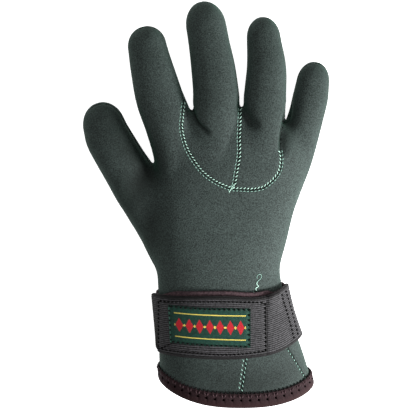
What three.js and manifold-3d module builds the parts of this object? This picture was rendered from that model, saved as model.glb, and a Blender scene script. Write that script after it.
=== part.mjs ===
// A five-finger neoprene glove for the right hand, with a hook-and-loop wrist strap.
// It lies palm down: +Y runs from the cuff to the fingertips, +Z is up out of the back of
// the hand, and the thumb is on the -X side. Sizes are in millimetres.
import * as THREE from "three";
import { mergeVertices } from "three/addons/utils/BufferGeometryUtils.js";
import Module from "manifold-3d";

const wasm = await Module();
wasm.setup();

// Driving dimensions
const wall = 3; // neoprene sheet
const gap = 0.3; // left between pieces that meet
const bindingTape = 1; // thickness of the tape folded over the hem
const bindingWidth = 8.5;
const bandThickness = 1.4; // loop-pile band sewn round the wrist
const strapThickness = 2; // elastic webbing with its hook backing
const labelThickness = 0.6;
const handSides = 26; // faces around the hand
const digitSides = 14; // faces around a finger
const handSteps = 18;
const digitSteps = 8;
const tipRings = 3;
const reachBeyond = 100; // how far cutting shapes run past the glove

// A row for each section across the hand, from the hem to the knuckles.
// lift and top are the heights of its underside and of its back above the table.
const hand = [
  { y: -137, left: -30.2, right: 73.8, lift: 1.5, top: 52.5 },
  { y: -119, left: -30.6, right: 69.8, lift: 1.5, top: 51.6 },
  { y: -101, left: -31, right: 64.4, lift: 3.8, top: 50 },
  { y: -85, left: -30.6, right: 58.3, lift: 5.6, top: 48.5 },
  { y: -70, left: -30.9, right: 53.3, lift: 6.2, top: 47 },
  { y: -53, left: -31.9, right: 49.4, lift: 6, top: 45.5 },
  { y: -42, left: -32.5, right: 48.6, lift: 4.6, top: 44.8 },
  { y: -27, left: -34, right: 52.2, lift: 1.6, top: 44.2 },
  { y: -9, left: -35, right: 56.4, lift: -0.8, top: 43.6 },
  { y: 9, left: -36, right: 61.8, lift: -0.8, top: 42.6 },
  { y: 25, left: -36, right: 64.4, lift: 1.6, top: 41 },
  { y: 39, left: -32, right: 61, lift: 5, top: 38.6 },
  { y: 52, left: -22, right: 51, lift: 9, top: 34 },
];
const knuckleReach = 9; // rounding of the web past the last row

// A row for each section along a digit, from its root inside the hand to its last full section.
// reach is how far its rounded tip runs on from there.
const digits = {
  thumb: {
    reach: 16.6,
    rows: [
      { x: -14, y: -52, width: 27, height: 28, lift: 7.5 },
      { x: -21, y: -36, width: 31, height: 34, lift: 3 },
      { x: -28, y: -20, width: 33, height: 36, lift: -0.6 },
      { x: -36, y: -4, width: 35, height: 36, lift: -0.8 },
      { x: -43.8, y: 8, width: 34.6, height: 34, lift: -0.8 },
      { x: -51.4, y: 20, width: 33, height: 31, lift: 0 },
      { x: -58.6, y: 31, width: 30.6, height: 27.5, lift: 1.6 },
      { x: -64.4, y: 41, width: 29.6, height: 25, lift: 1.2 },
      { x: -67.4, y: 48.5, width: 27.8, height: 23, lift: -0.4 },
    ],
  },
  index: {
    reach: 13.8,
    rows: [
      { x: -14, y: 5, width: 34, height: 32, lift: 5 },
      { x: -19, y: 30, width: 32, height: 30, lift: 7 },
      { x: -24, y: 50, width: 31.6, height: 28, lift: 8 },
      { x: -30.2, y: 66.6, width: 30.8, height: 26, lift: 7 },
      { x: -35.5, y: 86, width: 28, height: 24, lift: 3.6 },
      { x: -38.5, y: 100, width: 25.5, height: 22.5, lift: -0.4 },
    ],
  },
  middle: {
    reach: 17,
    rows: [
      { x: 7, y: 5, width: 34, height: 33, lift: 7 },
      { x: 6.5, y: 30, width: 33, height: 32, lift: 8.5 },
      { x: 6.6, y: 52, width: 31, height: 29.5, lift: 9.5 },
      { x: 6.3, y: 66.6, width: 29.8, height: 27, lift: 8.8 },
      { x: 4.6, y: 85, width: 28.7, height: 25, lift: 6 },
      { x: 2, y: 100, width: 26.8, height: 23.5, lift: 2.6 },
      { x: -0.3, y: 113, width: 26.2, height: 22, lift: -0.4 },
    ],
  },
  ring: {
    reach: 15.2,
    rows: [
      { x: 28, y: 5, width: 34, height: 32, lift: 7 },
      { x: 33.4, y: 30, width: 32, height: 31, lift: 8.5 },
      { x: 36.5, y: 52, width: 29, height: 28, lift: 9 },
      { x: 37.6, y: 66.5, width: 27.9, height: 26, lift: 7.8 },
      { x: 38.9, y: 86, width: 25.4, height: 23.5, lift: 4.4 },
      { x: 37.6, y: 105, width: 22.4, height: 20.5, lift: -0.4 },
    ],
  },
  little: {
    reach: 14.4,
    rows: [
      { x: 44, y: 0, width: 30, height: 29, lift: 3 },
      { x: 55.6, y: 25, width: 26, height: 26, lift: 3 },
      { x: 60.7, y: 41, width: 25, height: 24.5, lift: 2.6 },
      { x: 64.4, y: 54, width: 24.4, height: 22.5, lift: 2 },
      { x: 68.2, y: 67, width: 23.2, height: 21, lift: 0.8 },
      { x: 69.8, y: 76, width: 21.6, height: 19.5, lift: -0.4 },
    ],
  },
};

// Lines on the back of the glove, seen from above
const hem = { middle: 23, halfWidth: 48, low: -128.6, rise: 8.4, power: 2.6 };
const indexSeam = [
  [-11.5, 61],
  [-15.5, 54],
  [-14.3, 42.5],
  [-7.9, 29.5],
  [1.2, 20],
  [16.2, 10.3],
];
const centreSeam = [
  [16.2, 10.3],
  [18.9, 19],
  [20.7, 31.5],
  [21.2, 47],
  [22.3, 61.5],
];
const littleSeam = [
  [16.2, 10.3],
  [27.5, 9.6],
  [37.7, 13.2],
  [44.2, 19.8],
  [47.4, 28],
  [48.3, 38],
  [51.6, 53],
];
const indexToMiddle = [-19, 140]; // the gaps between the fingers run on to these points
const middleToRing = [22.3, 140];
const ringToLittle = [60, 140];
const palmJoin = 44; // the finger pieces end here on the palm side
const seamLevel = 19; // height at which the back's seams give way to the palm's
const gusset = {
  outline: [
    [32, -55],
    [24.8, -99.5],
    [20.4, -132],
    [70, -124],
    [65, -114.5],
    [53, -94],
  ],
  level: 27,
};

// Height of the seam round the glove's side, between its palm and its back, where it passes
// the thumb, the index finger and the little finger, a row for each place along the glove
const sideSeamAt = { thumb: -64, index: -28, little: 66 };
const sideSeam = [
  { y: -150, thumb: 24, index: 25, little: 25 },
  { y: -52, thumb: 21, index: 25, little: 24 },
  { y: 0, thumb: 16, index: 21, little: 19 },
  { y: 25, thumb: 14.5, index: 21.5, little: 15.5 },
  { y: 48, thumb: 11, index: 21.5, little: 13.5 },
  { y: 66, thumb: 10.5, index: 19.5, little: 11 },
  { y: 100, thumb: 10.5, index: 10.5, little: 9 },
  { y: 150, thumb: 10.5, index: 10.5, little: 9 },
];

// The strap's edges, seen from above, a row for each place along it
const strapEdges = [
  { x: -60, top: -60.2, bottom: -98 },
  { x: -25, top: -58.6, bottom: -97.2 },
  { x: 10, top: -57.4, bottom: -97.6 },
  { x: 32, top: -58.6, bottom: -96.4 },
  { x: 46, top: -55.6, bottom: -94.2 },
  { x: 60, top: -50, bottom: -88.4 },
  { x: 90, top: -40, bottom: -74 },
];
const bandShows = 2.4; // the band under the strap shows this far above it
const bandHides = 2; // and ends this far inside the strap's lower edge
const strapEnd = { top: 28, bottom: 19, corner: 5 }; // the slit between its two ends, on the thumb side
const label = { corner: [-24, -88.2], width: 52, height: 24, turn: -0.02 };

function vector(x, y, z) {
  return new THREE.Vector3(x, y, z);
}

// One value of a table's column, as a smooth curve through its rows at t from 0 to 1
function columns(rows, names) {
  const curve = new THREE.CatmullRomCurve3(
    rows.map((row) => vector(row[names[0]], row[names[1]], row[names[2]])),
  );
  return (t) => curve.getPoint(t);
}

// A section is rounder on top than underneath, where it lies on the table.
function sectionPoint(angle, halfWidth, halfHeight) {
  const c = Math.cos(angle);
  const s = Math.sin(angle);
  const power = s >= 0 ? 2 / 2.25 : 2 / 2.7;
  return [
    halfWidth * Math.sign(c) * Math.abs(c) ** power,
    halfHeight * Math.sign(s) * Math.abs(s) ** power,
  ];
}

function ring(centre, across, halfWidth, halfHeight, sides) {
  return Array.from({ length: sides }, (_, i) => {
    const [x, z] = sectionPoint((2 * Math.PI * i) / sides, halfWidth, halfHeight);
    return centre.clone().addScaledVector(across, x).add(vector(0, 0, z));
  });
}

// Joins rings into one closed skin, with a point at each end.
function skin(first, rings, last) {
  const sides = rings[0].length;
  const points = [first, ...rings.flat(), last];
  const at = (row, side) => 1 + row * sides + (side % sides);
  const index = [];
  for (let side = 0; side < sides; side++) {
    index.push(0, at(0, side), at(0, side + 1));
    for (let row = 0; row + 1 < rings.length; row++) {
      const [a, b] = [at(row, side), at(row, side + 1)];
      const [c, d] = [at(row + 1, side + 1), at(row + 1, side)];
      index.push(a, c, b, a, d, c);
    }
    const end = rings.length - 1;
    index.push(at(end, side), points.length - 1, at(end, side + 1));
  }
  const geometry = new THREE.BufferGeometry().setFromPoints(points);
  geometry.setIndex(index);
  return geometry;
}

// Rings that close a rounded end, shrinking along a quarter of an ellipse
function roundedEnd(centre, along, across, halfWidth, halfHeight, reach, sides) {
  const rings = [];
  for (let i = 1; i < tipRings; i++) {
    const angle = (i / tipRings) * (Math.PI / 2);
    const middle = centre.clone().addScaledVector(along, reach * Math.sin(angle));
    const share = Math.cos(angle);
    rings.push(ring(middle, across, halfWidth * share, halfHeight * share, sides));
  }
  return rings;
}

// The hand as a solid whose surface stands grow outside the neoprene's own
function handSolid(grow) {
  const edges = columns(hand, ["left", "right", "y"]);
  const heights = columns(hand, ["lift", "top", "y"]);
  const across = vector(1, 0, 0);
  const along = vector(0, 1, 0);
  const rings = [];
  let last;
  for (let i = 0; i <= handSteps; i++) {
    const edge = edges(i / handSteps);
    const height = heights(i / handSteps);
    const centre = vector((edge.x + edge.y) / 2, edge.z, (height.x + height.y) / 2);
    const halfWidth = (edge.y - edge.x) / 2 + grow;
    const halfHeight = (height.y - height.x) / 2 + grow;
    rings.push(ring(centre, across, halfWidth, halfHeight, handSides));
    last = { centre, halfWidth, halfHeight };
  }
  const reach = knuckleReach + grow;
  const { centre, halfWidth, halfHeight } = last;
  rings.push(...roundedEnd(centre, along, across, halfWidth, halfHeight, reach, handSides));
  const start = vector((hand[0].left + hand[0].right) / 2, hand[0].y, hand[0].top / 2);
  return solid(skin(start, rings, centre.clone().addScaledVector(along, reach)));
}

function digitSolid({ rows, reach }, grow) {
  const path = rows.map((row) => ({ ...row, z: row.lift + row.height / 2 }));
  const curve = new THREE.CatmullRomCurve3(path.map((row) => vector(row.x, row.y, row.z)));
  const sizes = columns(path, ["width", "height", "lift"]);
  const rings = [];
  let last;
  for (let i = 0; i <= digitSteps; i++) {
    const t = i / digitSteps;
    const centre = curve.getPoint(t);
    const along = curve.getTangent(t);
    const across = vector(along.y, -along.x, 0).normalize();
    const size = sizes(t);
    const halfWidth = size.x / 2 + grow;
    const halfHeight = size.y / 2 + grow;
    rings.push(ring(centre, across, halfWidth, halfHeight, digitSides));
    last = { centre, along, across, halfWidth, halfHeight };
  }
  const tip = reach + grow;
  const { centre, along, across, halfWidth, halfHeight } = last;
  rings.push(...roundedEnd(centre, along, across, halfWidth, halfHeight, tip, digitSides));
  return solid(skin(curve.getPoint(0), rings, centre.clone().addScaledVector(along, tip)));
}

// A closed geometry as a solid that can be joined and cut
function solid(geometry) {
  const bare = new THREE.BufferGeometry();
  bare.setAttribute("position", geometry.getAttribute("position"));
  bare.setIndex(geometry.getIndex());
  const merged = mergeVertices(bare, 1e-4);
  return new wasm.Manifold(
    new wasm.Mesh({
      numProp: 3,
      vertProperties: merged.getAttribute("position").array,
      triVerts: new Uint32Array(merged.getIndex().array),
    }),
  );
}

// An outline seen from above, standing between two heights
function prism(points, low, high) {
  const shape = new THREE.Shape(points.map(([x, y]) => new THREE.Vector2(x, y)));
  const geometry = new THREE.ExtrudeGeometry(shape, { depth: high - low, bevelEnabled: false });
  return solid(geometry.translate(0, 0, low));
}

// The outline moved outwards by the same distance all round
function spread(points, distance) {
  const corners = points.map(([x, y]) => new THREE.Vector2(x, y));
  const turn = THREE.ShapeUtils.area(corners) > 0 ? 1 : -1;
  return corners.map((corner, i) => {
    const before = corners[(i + corners.length - 1) % corners.length];
    const after = corners[(i + 1) % corners.length];
    const a = corner.clone().sub(before).normalize();
    const b = after.clone().sub(corner).normalize();
    const outwards = new THREE.Vector2(a.y + b.y, -a.x - b.x).normalize();
    const stretch = distance / Math.max(0.4, outwards.x * a.y - outwards.y * a.x);
    return [corner.x + turn * stretch * outwards.x, corner.y + turn * stretch * outwards.y];
  });
}

function smooth(points, divisions) {
  const curve = new THREE.SplineCurve(points.map(([x, y]) => new THREE.Vector2(x, y)));
  return curve.getPoints(divisions).map((point) => [point.x, point.y]);
}

// The hem is a shallow arc seen from above; inset moves it towards the fingers.
function hemLine(inset) {
  const span = 1.5;
  const count = 12;
  return Array.from({ length: count + 1 }, (_, i) => {
    const share = span * ((2 * i) / count - 1);
    const rise = hem.rise * Math.abs(share) ** hem.power;
    return [hem.middle + share * hem.halfWidth, hem.low + rise + inset];
  });
}

// All that lies on the fingers' side of the hem
function beyondHem(inset) {
  const line = hemLine(inset);
  const sideLevel = line[0][1];
  const ends = [
    [reachBeyond, sideLevel],
    [reachBeyond, 2 * reachBeyond],
    [-reachBeyond, 2 * reachBeyond],
    [-reachBeyond, sideLevel],
  ];
  return prism([...line, ...ends], -reachBeyond, reachBeyond);
}

function aboveHeight(height) {
  const box = new THREE.BoxGeometry(4 * reachBeyond, 4 * reachBeyond, reachBeyond);
  return solid(box.translate(0, 0, height + reachBeyond / 2));
}

// All that lies above the side seam, moved up by lift
function aboveSideSeam(lift) {
  const across = [-reachBeyond, ...Object.values(sideSeamAt), reachBeyond];
  const rings = sideSeam.map(({ y, thumb, index, little }) => {
    const heights = [thumb, thumb, index, little, little];
    const seam = across.map((x, i) => vector(x, y, heights[i] + lift));
    return [...seam, vector(reachBeyond, y, reachBeyond), vector(-reachBeyond, y, reachBeyond)];
  });
  const first = vector(0, sideSeam[0].y, reachBeyond / 2);
  const last = vector(0, sideSeam.at(-1).y, reachBeyond / 2);
  return solid(skin(first, rings, last));
}

function joined(solids) {
  return solids.reduce((sum, next) => sum.add(next));
}

// The neoprene, flattened where it lies on the table, and hollow
function neoprene() {
  const outside = joined([handSolid(0), ...Object.values(digits).map((d) => digitSolid(d, 0))]);
  const inside = joined([
    handSolid(-wall),
    ...Object.values(digits).map((d) => digitSolid(d, -wall)),
  ]);
  return outside
    .intersect(beyondHem(0))
    .intersect(aboveHeight(0))
    .subtract(inside.intersect(aboveHeight(wall)));
}

// A finger's own piece: a tongue down the back of the hand, cut straight on the palm side
function fingerRegion(leftSeam, rightSeam, leftEnd, rightEnd, margin) {
  const back = [...leftSeam, ...rightSeam.slice(1), rightEnd, leftEnd];
  const left = leftSeam[0];
  const right = rightSeam.at(-1);
  const palm = [[left[0], palmJoin], [right[0], palmJoin], right, rightEnd, leftEnd, left];
  return prism(spread(back, margin), seamLevel - margin, reachBeyond).add(
    prism(spread(palm, margin), -reachBeyond, seamLevel),
  );
}

function strapRegion(above, below) {
  const top = strapEdges.map((row) => [row.x, row.top + above]);
  const bottom = strapEdges.map((row) => [row.x, row.bottom + below]).reverse();
  return prism([...top, ...bottom], -reachBeyond, reachBeyond);
}

// A sleeve round the wrist between two distances from the neoprene
function sleeve(near, far, region) {
  return handSolid(far).subtract(handSolid(near)).intersect(region);
}

// The space between the strap's two ends, rounding the corners of its free end
function strapSlit() {
  const { top, bottom, corner } = strapEnd;
  const left = strapEdges[0].bottom;
  const right = strapEdges[0].top;
  const shape = new THREE.Shape();
  shape.moveTo(left - corner, bottom);
  shape.lineTo(right + corner, bottom);
  shape.lineTo(right + corner, top + corner);
  shape.lineTo(right, top + corner);
  shape.quadraticCurveTo(right, top, right - corner, top);
  shape.lineTo(left + corner, top);
  shape.quadraticCurveTo(left, top, left, top + corner);
  shape.lineTo(left - corner, top + corner);
  const geometry = new THREE.ExtrudeGeometry(shape, { depth: 50, bevelEnabled: false, curveSegments: 4 });
  geometry.rotateY(Math.PI / 2).rotateX(Math.PI / 2);
  return solid(geometry.translate(-60, 0, 0));
}

function material(colour, roughness) {
  return new THREE.MeshStandardMaterial({ color: colour, roughness, metalness: 0 });
}

const neopreneJersey = material("#47524e", 0.85);
const bindingCloth = material("#3c2b2f", 0.9);
const loopPile = material("#5a4f50", 0.95);
const webbing = material("#4a4849", 0.8);
const wovenLabel = material("#235142", 0.7);

const glove = new THREE.Group();

function addPiece(name, piece, finish) {
  const { numProp, vertProperties, triVerts } = piece.getMesh();
  const geometry = new THREE.BufferGeometry();
  geometry.setAttribute("position", new THREE.BufferAttribute(vertProperties, numProp));
  geometry.setIndex(new THREE.BufferAttribute(triVerts, 1));
  geometry.computeVertexNormals();
  const mesh = new THREE.Mesh(geometry, finish);
  mesh.name = name;
  glove.add(mesh);
}

const shell = neoprene();
const leftLine = smooth(indexSeam, 10);
const centreLine = smooth(centreSeam, 6);
const rightLine = smooth(littleSeam, 12);
const middleRegion = (margin) =>
  fingerRegion(leftLine, centreLine, indexToMiddle, middleToRing, margin);
const ringRegion = (margin) =>
  fingerRegion(centreLine.slice().reverse(), rightLine, middleToRing, ringToLittle, margin);
const gussetRegion = (margin) =>
  prism(spread(gusset.outline, margin), gusset.level, reachBeyond);

addPiece("middle_finger", shell.intersect(middleRegion(0)), neopreneJersey);
addPiece("ring_finger", shell.intersect(ringRegion(0)).subtract(middleRegion(gap)), neopreneJersey);
addPiece("cuff_gusset", shell.intersect(gussetRegion(0)), neopreneJersey);
const body = shell
  .subtract(middleRegion(gap))
  .subtract(ringRegion(gap))
  .subtract(gussetRegion(gap));
addPiece("hand_back", body.intersect(aboveSideSeam(gap / 2)), neopreneJersey);
addPiece("hand_palm", body.subtract(aboveSideSeam(-gap / 2)), neopreneJersey);

// The hem's tape runs up both faces of the neoprene and round its cut edge.
const tapeOutside = gap + bindingTape;
const binding = sleeve(-wall - tapeOutside, tapeOutside, beyondHem(-tapeOutside))
  .subtract(beyondHem(bindingWidth))
  .subtract(sleeve(-wall - gap, gap, beyondHem(-gap)));
addPiece("hem_binding", binding, bindingCloth);

const bandTop = gap + bandThickness;
addPiece("wrist_band", sleeve(gap, bandTop, strapRegion(bandShows, bandHides)), loopPile);

const strapNear = bandTop + gap;
const strapFar = strapNear + strapThickness;
const strap = sleeve(strapNear, strapFar, strapRegion(0, 0)).subtract(strapSlit());
addPiece("closing_strap", strap, webbing);

const labelOutline = [
  [0, 0],
  [label.width, 0],
  [label.width, label.height],
  [0, label.height],
].map(([x, y]) => {
  const place = new THREE.Vector2(x, y).rotateAround(new THREE.Vector2(), label.turn);
  return [label.corner[0] + place.x, label.corner[1] + place.y];
});
const labelNear = strapFar + gap;
const labelRegion = prism(labelOutline, seamLevel, reachBeyond);
addPiece("woven_label", sleeve(labelNear, labelNear + labelThickness, labelRegion), wovenLabel);

export default glove;
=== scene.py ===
# A neoprene glove for the right hand, lying on its palm with its back up.
# Lengths are in millimetres here and turn to metres where a mesh is made.
import math

import bpy
import numpy as np
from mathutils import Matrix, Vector
from mathutils.bvhtree import BVHTree


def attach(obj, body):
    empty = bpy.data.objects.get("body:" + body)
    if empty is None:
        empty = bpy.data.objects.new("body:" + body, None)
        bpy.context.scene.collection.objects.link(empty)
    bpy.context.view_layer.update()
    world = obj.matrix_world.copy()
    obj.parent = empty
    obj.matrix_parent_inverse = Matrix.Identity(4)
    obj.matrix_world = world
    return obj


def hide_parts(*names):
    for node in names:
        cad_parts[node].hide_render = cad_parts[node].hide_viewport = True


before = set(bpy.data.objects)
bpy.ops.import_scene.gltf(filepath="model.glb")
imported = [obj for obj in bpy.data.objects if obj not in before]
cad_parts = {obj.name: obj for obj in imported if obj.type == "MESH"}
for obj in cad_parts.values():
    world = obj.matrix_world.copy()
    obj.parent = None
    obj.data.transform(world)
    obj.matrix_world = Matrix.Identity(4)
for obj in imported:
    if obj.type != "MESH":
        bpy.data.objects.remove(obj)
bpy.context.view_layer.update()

mm = 0.001

# Numbers and curves


def linearColour(hexColour):  # sRGB hex to the linear values that nodes take
    parts = [int(hexColour[i : i + 2], 16) / 255 for i in (1, 3, 5)]
    return [c / 12.92 if c <= 0.04045 else ((c + 0.055) / 1.055) ** 2.4 for c in parts] + [1]


def smoothRows(names, rows, count):  # a smooth curve through a table's rows, by column name
    p = np.array(rows, float)
    p = np.vstack([2 * p[0] - p[1], p, 2 * p[-1] - p[-2]])
    t = np.linspace(0, len(rows) - 1, count)
    i = np.minimum(t.astype(int), len(rows) - 2)
    f = (t - i)[:, None]
    a, b, c, d = p[i], p[i + 1], p[i + 2], p[i + 3]
    q = 0.5 * (2 * b + (c - a) * f + (2 * a - 5 * b + 4 * c - d) * f**2 + (3 * b - a - 3 * c + d) * f**3)
    return {name: q[:, k] for k, name in enumerate(names)}


def lengthsAlong(line):
    return np.concatenate([[0], np.cumsum(np.linalg.norm(np.diff(line, axis=0), axis=1))])


def pointsAt(line, lengths):
    reach = lengthsAlong(line)
    return np.stack([np.interp(lengths, reach, line[:, k]) for k in range(line.shape[1])], 1)


def smoothLine(points, step=0.5):  # points along a smooth plan line, evenly spaced
    line = np.stack([*smoothRows("xy", points, 40 * len(points)).values()], 1)
    reach = lengthsAlong(line)[-1]
    return pointsAt(line, np.linspace(0, reach, max(2, int(reach / step))))


def unit(v):
    return v / np.maximum(np.linalg.norm(v, axis=-1, keepdims=True), 1e-9)


def evenly(line, pitch):  # places along a line, and the directions there
    at = np.arange(pitch / 2, lengthsAlong(line)[-1], pitch)
    place, ahead, behind = (pointsAt(line, at + move) for move in (0, 0.5, -0.5))
    return place, unit(ahead - behind)


def smoothStep(low, high, value):
    t = np.clip((value - low) / (high - low), 0, 1)
    return t * t * (3 - 2 * t)


def bell(gap, width):
    return np.exp(-((gap / width) ** 2))


def normalsAt(at, a, b, stepA, stepB):  # the normals of a surface whose points are at(a, b)
    return unit(np.cross(at(a + stepA, b) - at(a - stepA, b), at(a, b + stepB) - at(a, b - stepB)))


def distanceTo(line, plan):  # from each plan point to the nearest point of a line, and which it is
    best, nearest = np.zeros(len(plan)), np.zeros(len(plan), int)
    atOnce = 20000
    for start in range(0, len(plan), atOnce):
        part = slice(start, start + atOnce)
        gaps = np.linalg.norm(plan[part, None] - line[None], axis=2)
        nearest[part], best[part] = gaps.argmin(1), gaps.min(1)
    return best, nearest


def inside(outline, plan):  # are the plan points inside the outline?
    x, y = plan[:, 0], plan[:, 1]
    within = np.zeros(len(plan), bool)
    for (x0, y0), (x1, y1) in zip(outline, np.roll(outline, -1, axis=0)):
        crosses = (y0 > y) != (y1 > y)
        within ^= crosses & (x < (x1 - x0) * (y - y0) / (y1 - y0 + 1e-12) + x0)
    return within


# The glove's form, in the same rows as its solids

gloveForm = {
    "wall": 3.0,
    "knuckleReach": 9.0,
    "backPower": 2.25,  # how square a section is on its back
    "palmPower": 2.7,
    "hand": [  # y, left edge, right edge, underside and back
        (-137, -30.2, 73.8, 1.5, 52.5), (-119, -30.6, 69.8, 1.5, 51.6), (-101, -31, 64.4, 3.8, 50),
        (-85, -30.6, 58.3, 5.6, 48.5), (-70, -30.9, 53.3, 6.2, 47), (-53, -31.9, 49.4, 6, 45.5),
        (-42, -32.5, 48.6, 4.6, 44.8), (-27, -34, 52.2, 1.6, 44.2), (-9, -35, 56.4, -0.8, 43.6),
        (9, -35.4, 61.8, -0.8, 42.6), (25, -34.2, 64.4, 1.6, 41), (39, -32, 61, 5, 38.6), (52, -22, 51, 9, 34),
    ],
    # how far each rounded end runs past its last row
    "tips": {"thumb": 16.6, "index": 13.8, "middle": 17, "ring": 15.2, "little": 14.4},
    "digits": {  # x, y, width, height and underside
        "thumb": [
            (-14, -52, 27, 24, 8), (-21, -36, 31, 29.5, 3.5), (-28, -20, 33, 33, -0.6),
            (-36, -4, 35, 34.2, -0.8), (-44.2, 8, 33.8, 33.2, -0.8), (-52, 20, 31.8, 30.6, 0),
            (-58.6, 31, 30.6, 27.5, 1.6), (-64.4, 41, 29.6, 25, 1.2), (-67.4, 48.5, 27.8, 23, -0.4),
        ],
        "index": [
            (-14, 5, 34, 32, 5), (-18.6, 30, 31.2, 30, 7), (-24, 50, 31.6, 28, 8),
            (-30.2, 66.6, 30.8, 26, 7), (-35.5, 86, 28, 24, 3.6), (-38.5, 100, 25.5, 22.5, -0.4),
        ],
        "middle": [
            (7, 5, 34, 33, 7), (6.5, 30, 33, 32, 8.5), (6.6, 52, 29.6, 29.5, 9.5), (6.3, 66.6, 29.4, 27, 8.8),
            (4.6, 85, 28.7, 25, 6), (2, 100, 26.8, 23.5, 2.6), (-0.3, 113, 26.2, 22, -0.4),
        ],
        "ring": [
            (28, 5, 34, 32, 7), (33.4, 30, 32, 31, 8.5), (37.2, 52, 27, 28, 9),
            (37.9, 66.5, 27, 26, 7.8), (38.9, 86, 25.4, 23.5, 4.4), (37.6, 105, 22.4, 20.5, -0.4),
        ],
        "little": [
            (44, 0, 30, 29, 3), (55.6, 25, 26, 26, 3), (60.7, 41, 25, 24.5, 2.6),
            (64.9, 54, 23.4, 22.5, 2), (68.2, 67, 23.2, 21, 0.8), (69.8, 76, 21.6, 19.5, -0.4),
        ],
    },
    "hem": {"middle": 23, "halfWidth": 48, "low": -128.6, "rise": 8.4, "power": 2.6},
    "sideSeamAt": (-64, -28, 66),
    "sideSeam": [  # y, and the height of the seam between palm and back at each x above
        (-150, 24, 25, 25), (-52, 21, 25, 24), (0, 16, 21, 19), (25, 14.5, 21.5, 15.5),
        (48, 11, 21.5, 13.5), (66, 10.5, 19.5, 11), (100, 10.5, 10.5, 9), (150, 10.5, 10.5, 9),
    ],
}


def sectionAt(angle, halfWidth, halfHeight):
    c, s = np.cos(angle), np.sin(angle)
    power = np.where(s >= 0, 2 / gloveForm["backPower"], 2 / gloveForm["palmPower"])
    return halfWidth * np.sign(c) * abs(c) ** power, halfHeight * np.sign(s) * abs(s) ** power


handCurve = smoothRows(("y", "left", "right", "lift", "top"), gloveForm["hand"], 400)


def handEdges(y):
    return [np.interp(y, handCurve["y"], handCurve[k]) for k in ("left", "right", "lift", "top")]


def handAt(angle, y, grow):  # a point round the hand or cuff, grow outside the neoprene
    left, right, lift, top = handEdges(y)
    x, z = sectionAt(angle, (right - left) / 2 + grow, (top - lift) / 2 + grow)
    return np.stack(np.broadcast_arrays((left + right) / 2 + x, y, (lift + top) / 2 + z), -1)


def roundAt(angle, level, grow, guess, yAt):  # a point round the glove whose y follows from its x
    y = np.full(np.broadcast(angle, level).shape, guess)
    for _ in range(4):
        y = yAt(handAt(angle, y, grow)[..., 0])
    return handAt(angle, y, grow)


def topAt(x, y, grow):  # a point on the back of the hand or cuff, seen from above
    left, right, lift, top = handEdges(y)
    share = np.clip(abs(x - (left + right) / 2) / ((right - left) / 2 + grow), 0, 1)
    power = gloveForm["backPower"]
    z = (lift + top) / 2 + ((top - lift) / 2 + grow) * (1 - share**power) ** (1 / power)
    return np.stack(np.broadcast_arrays(x, y, z), -1)


def hemAt(x):
    hem = gloveForm["hem"]
    return hem["low"] + hem["rise"] * (abs(x - hem["middle"]) / hem["halfWidth"]) ** hem["power"]


def sideSeamAt(plan):  # height of the side seam at each plan point
    rows, at = np.array(gloveForm["sideSeam"], float), gloveForm["sideSeamAt"]
    thumb, index, little = (np.interp(plan[:, 1], rows[:, 0], rows[:, k]) for k in (1, 2, 3))
    x = np.clip(plan[:, 0], at[0], at[2])
    left = thumb + (index - thumb) * (x - at[0]) / (at[1] - at[0])
    right = index + (little - index) * (x - at[1]) / (at[2] - at[1])
    return np.where(x < at[1], left, right)


# Meshes


def meshFrom(name, points, faces, finish):
    mesh = bpy.data.meshes.new(name)
    mesh.from_pydata((np.asarray(points, float) * mm).tolist(), [], [list(map(int, f)) for f in faces])
    mesh.validate()
    mesh.shade_smooth()
    piece = bpy.data.objects.new(name, mesh)
    bpy.context.scene.collection.objects.link(piece)
    if finish:
        mesh.materials.append(finish)
    return piece


def stands(piece, slot, *nodes):  # the piece moves with the glove and takes the place of its solids
    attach(piece, "root")
    if nodes:
        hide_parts(*nodes)


def gridFaces(rows, columns, wrapRows=False, wrapColumns=True):
    grid = np.arange(rows * columns).reshape(rows, columns)
    beside = np.roll(grid, -1, 1)
    faces = np.stack([grid, beside, np.roll(beside, -1, 0), np.roll(grid, -1, 0)], -1)
    return faces[: rows - (not wrapRows), : columns - (not wrapColumns)].reshape(-1, 4)


def closedLoft(rings):  # rings of points, first to last, with a point at each end
    rows, columns, _ = rings.shape
    points = np.vstack([rings.reshape(-1, 3), rings[0].mean(0), rings[-1].mean(0)])
    faces = gridFaces(rows, columns).tolist()
    last = (rows - 1) * columns
    for j in range(columns):
        k = (j + 1) % columns
        faces += [[rows * columns, k, j], [last + j, last + k, rows * columns + 1]]
    return points, faces


def closedSheet(name, outer, inner, finish):  # two grids of points joined round their edge
    rows, columns, _ = outer.shape
    n = rows * columns
    points = np.vstack([outer.reshape(-1, 3), inner.reshape(-1, 3)])
    top = gridFaces(rows, columns, False, False)
    faces = top.tolist() + (top[:, ::-1] + n).tolist()
    grid = np.arange(n).reshape(rows, columns)
    edge = [*grid[:, 0], *grid[-1, 1:], *grid[-2::-1, -1], *grid[0, -2:0:-1]]
    for a, b in zip(edge, edge[1:] + edge[:1]):
        faces.append([b, a, a + n, b + n])
    return meshFrom(name, points, faces, finish)


def addPlan(piece, along, across):  # real lengths in mm along and across, for patterns
    uv = np.stack(np.broadcast_arrays(along, across), -1).reshape(-1, 2)
    layer = piece.data.uv_layers.new(name="plan")
    loops = np.zeros(len(piece.data.loops), int)
    piece.data.loops.foreach_get("vertex_index", loops)
    copies = len(piece.data.vertices) // len(uv)
    layer.data.foreach_set("uv", np.vstack([uv] * copies)[loops].astype(np.float32).ravel())


def applyModifiers(piece):
    graph = bpy.context.evaluated_depsgraph_get()
    mesh = bpy.data.meshes.new_from_object(piece.evaluated_get(graph))
    piece.modifiers.clear()
    old, piece.data = piece.data, mesh
    bpy.data.meshes.remove(old)


def valuesOf(items, name, width=3):
    flat = np.zeros(len(items) * width, np.float32)
    items.foreach_get(name, flat)
    return flat.reshape(-1, width).astype(float)


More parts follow.
